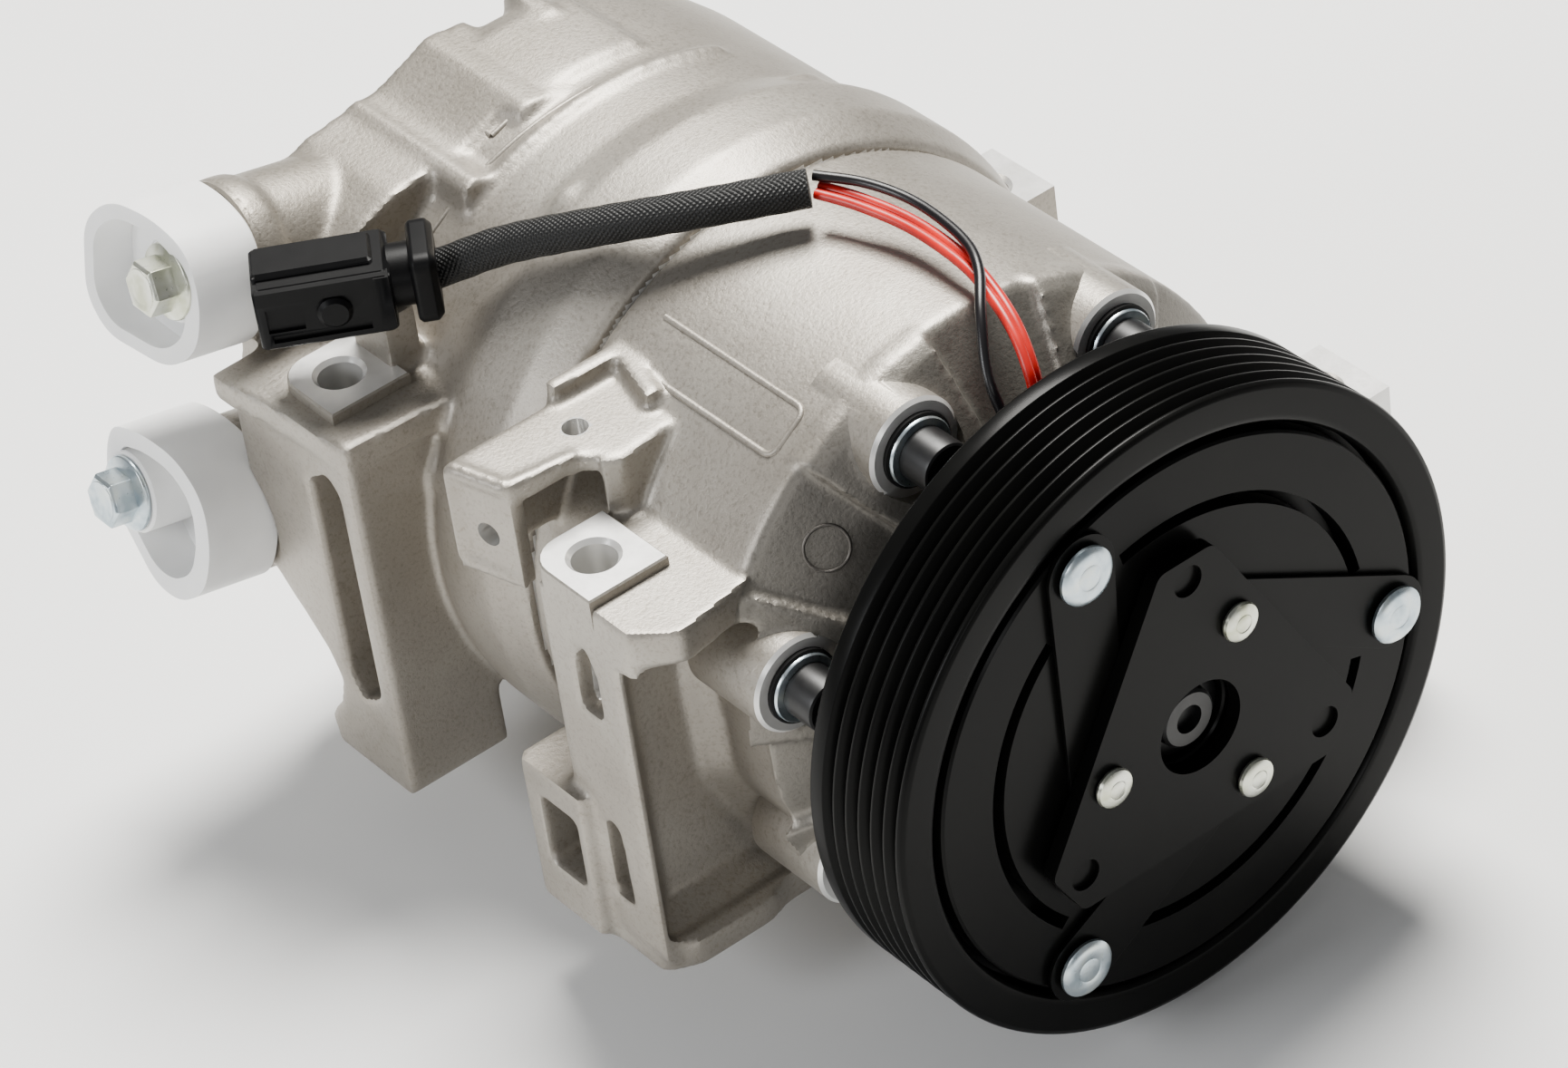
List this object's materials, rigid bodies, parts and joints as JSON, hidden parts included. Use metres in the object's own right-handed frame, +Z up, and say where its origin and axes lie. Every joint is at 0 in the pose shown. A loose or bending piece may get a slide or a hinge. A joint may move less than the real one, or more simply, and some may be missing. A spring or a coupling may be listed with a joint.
{
  "type": "automotive ac compressor",
  "caption": "Belt-driven vehicle air-conditioning compressor with a magnetic clutch, cast housings, tilting swash plate, capped ports and a coil lead.",
  "frame": {"origin": "bottom centre of the whole part's box", "axes": "+Y along the shaft from the pulley to the rear head, +Z up along the mounting bores, +X to the right seen from the pulley"},
  "size_m": [0.203, 0.217, 0.1479],
  "materials": {
    "cast_aluminium": "sand cast, bead blasted",
    "machined_steel": "turned and ground",
    "black_paint": "satin black",
    "black_steel": "black oxide",
    "zinc_plate": "blue zinc plated",
    "white_polyethylene": "translucent moulded",
    "black_rubber": "smooth",
    "black_plastic": "fine textured",
    "machined_aluminium": "turned",
    "braided_sleeve": "woven black",
    "red_insulation": "satin red",
    "black_insulation": "satin black",
    "potted_winding": "varnished copper in resin",
    "coated_gasket": "rubber coated steel"
  },
  "bodies": {
    "housing": {"front_housing": "cast_aluminium", "rear_housing": "cast_aluminium", "cylinder_block": "cast_aluminium", "suction_reed": "machined_steel", "valve_plate": "machined_steel", "discharge_reed": "machined_steel", "control_valve": "machined_steel", "bearing_inner_race": "machined_steel", "front_needle_bearing": "machined_steel", "rear_needle_bearing": "machined_steel", "thrust_bearing": "machined_steel", "head_gasket": "coated_gasket", "body_o_ring": "black_rubber", "shaft_seal": "black_rubber", "through_bolt_1": "black_steel", "through_bolt_2": "black_steel", "through_bolt_3": "black_steel", "through_bolt_4": "black_steel", "through_bolt_5": "black_steel", "through_bolt_6": "black_steel", "through_bolt_7": "black_steel", "upper_port_cap": "white_polyethylene", "lower_port_cap": "white_polyethylene", "upper_cap_bolt": "zinc_plate", "lower_cap_bolt": "zinc_plate", "relief_valve": "zinc_plate", "coil_cup": "black_paint", "coil_winding": "potted_winding", "connector": "black_plastic", "harness_sleeve": "braided_sleeve", "red_wire_1": "red_insulation", "red_wire_2": "red_insulation", "black_wire": "black_insulation"},
    "pulley": {"pulley": "black_paint", "bearing_outer_race": "machined_steel"},
    "shaft": {"shaft": "machined_steel", "clutch_bolt": "black_steel", "hub": "black_paint", "hub_plate": "black_paint", "leaf_spring_1": "black_paint", "leaf_spring_2": "black_paint", "leaf_spring_3": "black_paint", "hub_rivet_1": "zinc_plate", "hub_rivet_2": "zinc_plate", "hub_rivet_3": "zinc_plate", "lug_plate": "machined_steel", "destroke_spring": "machined_steel"},
    "armature": {"armature": "black_paint", "armature_rivet_1": "zinc_plate", "armature_rivet_2": "zinc_plate", "armature_rivet_3": "zinc_plate"},
    "sleeve": {"swash_sleeve": "machined_steel"},
    "swash": {"swash_plate": "machined_steel"},
    "piston_1": {"piston_1": "machined_aluminium"},
    "piston_2": {"piston_2": "machined_aluminium"},
    "piston_3": {"piston_3": "machined_aluminium"},
    "piston_4": {"piston_4": "machined_aluminium"},
    "piston_5": {"piston_5": "machined_aluminium"},
    "piston_6": {"piston_6": "machined_aluminium"},
    "piston_7": {"piston_7": "machined_aluminium"}
  },
  "joints": [
    {"name": "pulley_spin", "type": "hinge", "parent": "housing", "child": "pulley", "pos_m": [0.00752, -0.08555, 0.07], "axis": [0, 1, 0], "continuous": true},
    {"name": "shaft_spin", "type": "hinge", "parent": "housing", "child": "shaft", "pos_m": [0.00752, -0.02155, 0.07], "axis": [0, 1, 0], "continuous": true},
    {"name": "armature_slide", "type": "slide", "parent": "shaft", "child": "armature", "axis": [0, 1, 0], "range_m": [0, 0.0004], "stiffness_N_per_m": 60000},
    {"name": "swash_tilt", "type": "hinge", "parent": "sleeve", "child": "swash", "pos_m": [0.00752, -0.00755, 0.07], "axis": [-1, 0, 0], "range_deg": [0, 18]},
    {"name": "sleeve_slide", "type": "slide", "parent": "housing", "child": "sleeve", "axis": [0, -1, 0], "range_m": [0, 0.01107], "deforming": ["destroke_spring"]},
    {"name": "piston_1_slide", "type": "slide", "parent": "housing", "child": "piston_1", "axis": [0, -1, 0], "range_m": [0, 0.0011]},
    {"name": "piston_2_slide", "type": "slide", "parent": "housing", "child": "piston_2", "axis": [0, -1, 0], "range_m": [0, 0.00861]},
    {"name": "piston_3_slide", "type": "slide", "parent": "housing", "child": "piston_3", "axis": [0, -1, 0], "range_m": [0, 0.01796]},
    {"name": "piston_4_slide", "type": "slide", "parent": "housing", "child": "piston_4", "axis": [0, -1, 0], "range_m": [0, 0.02212]},
    {"name": "piston_5_slide", "type": "slide", "parent": "housing", "child": "piston_5", "axis": [0, -1, 0], "range_m": [0, 0.01796]},
    {"name": "piston_6_slide", "type": "slide", "parent": "housing", "child": "piston_6", "axis": [0, -1, 0], "range_m": [0, 0.00861]},
    {"name": "piston_7_slide", "type": "slide", "parent": "housing", "child": "piston_7", "axis": [0, -1, 0], "range_m": [0, 0.0011]}
  ],
  "couplings": [
    {"joint": "sleeve_slide", "follows": "swash_tilt", "m_per_rad": 0.03519},
    {"joint": "piston_1_slide", "follows": "swash_tilt", "m_per_rad": 0.003485},
    {"joint": "piston_2_slide", "follows": "swash_tilt", "m_per_rad": 0.027359},
    {"joint": "piston_3_slide", "follows": "swash_tilt", "m_per_rad": 0.057131},
    {"joint": "piston_4_slide", "follows": "swash_tilt", "m_per_rad": 0.07038},
    {"joint": "piston_5_slide", "follows": "swash_tilt", "m_per_rad": 0.057131},
    {"joint": "piston_6_slide", "follows": "swash_tilt", "m_per_rad": 0.027359},
    {"joint": "piston_7_slide", "follows": "swash_tilt", "m_per_rad": 0.003485}
  ]
}
